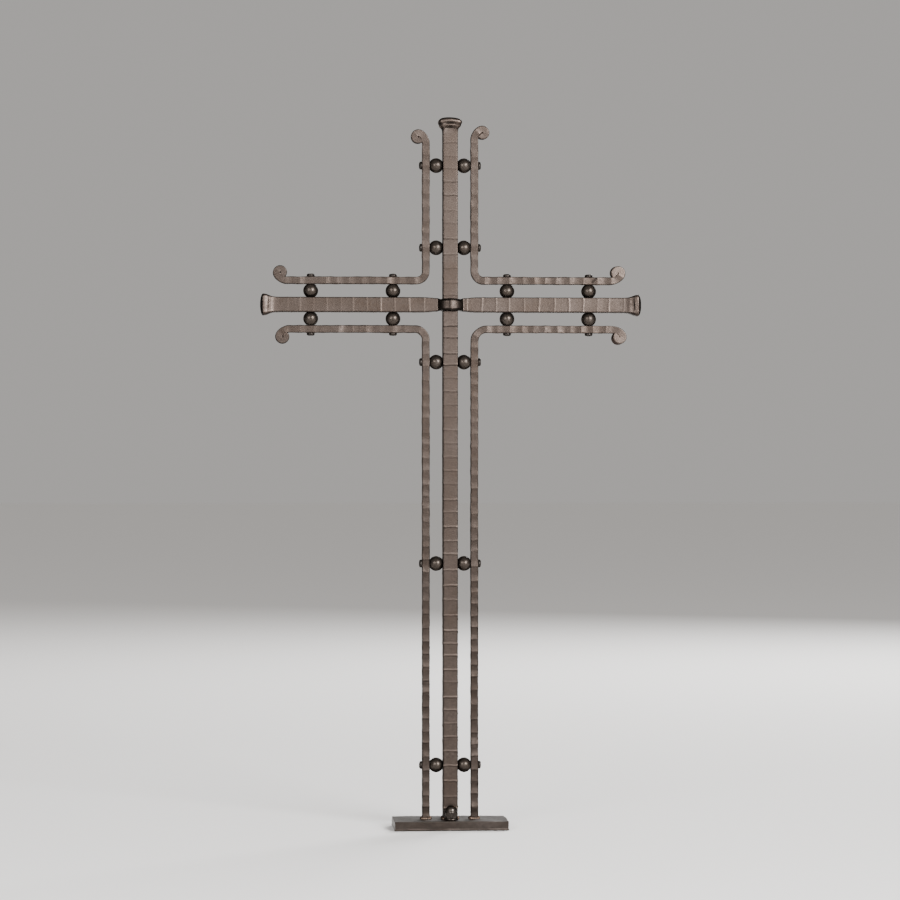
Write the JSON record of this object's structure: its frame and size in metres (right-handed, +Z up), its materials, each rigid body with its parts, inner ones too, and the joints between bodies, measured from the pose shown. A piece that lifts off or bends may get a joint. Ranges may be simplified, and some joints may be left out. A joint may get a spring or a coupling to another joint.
{
  "type": "grave cross",
  "caption": "Hand-forged iron grave cross: hammered upright through an eyed cross bar, scrolled side bars on riveted balls, standing on a bolted base plate.",
  "frame": {"origin": "on the underside of the base plate, below the axis of the upright", "axes": "+X along the cross bar to the viewer's right, +Y from the front to the back, +Z up"},
  "size_m": [0.5345, 0.08, 0.9945],
  "materials": {
    "main_bar_iron": "hammered bar, waxed forge finish, warm grey-brown satin",
    "side_bar_iron": "hammered thin bar, waxed forge finish, warm grey-brown satin",
    "ball_iron": "dark forge-black satin",
    "rivet_iron": "dark forge-black satin",
    "plate_iron": "hammered flat plate, waxed forge finish, warm grey-brown satin",
    "nut_steel": "plain steel, dulled",
    "washer_steel": "plain steel, dulled and darkened"
  },
  "bodies": {
    "root": {"base_plate": "plate_iron", "upright_bar": "main_bar_iron", "cross_bar": "main_bar_iron", "upper_left_bar": "side_bar_iron", "upper_right_bar": "side_bar_iron", "lower_left_bar": "side_bar_iron", "lower_right_bar": "side_bar_iron", "ball_top_1_a": "ball_iron", "ball_top_1_b": "ball_iron", "ball_top_2_a": "ball_iron", "ball_top_2_b": "ball_iron", "ball_left_1_a": "ball_iron", "ball_left_1_b": "ball_iron", "ball_left_2_a": "ball_iron", "ball_left_2_b": "ball_iron", "ball_right_1_a": "ball_iron", "ball_right_1_b": "ball_iron", "ball_right_2_a": "ball_iron", "ball_right_2_b": "ball_iron", "ball_foot_1_a": "ball_iron", "ball_foot_1_b": "ball_iron", "ball_foot_2_a": "ball_iron", "ball_foot_2_b": "ball_iron", "ball_foot_3_a": "ball_iron", "ball_foot_3_b": "ball_iron", "rivet_top_1": "rivet_iron", "rivet_top_2": "rivet_iron", "rivet_left_1": "rivet_iron", "rivet_left_2": "rivet_iron", "rivet_right_1": "rivet_iron", "rivet_right_2": "rivet_iron", "rivet_foot_1": "rivet_iron", "rivet_foot_2": "rivet_iron", "rivet_foot_3": "rivet_iron", "washer_front": "washer_steel", "washer_back": "washer_steel", "cap_nut_front": "nut_steel", "cap_nut_back": "nut_steel"}
  },
  "joints": []
}
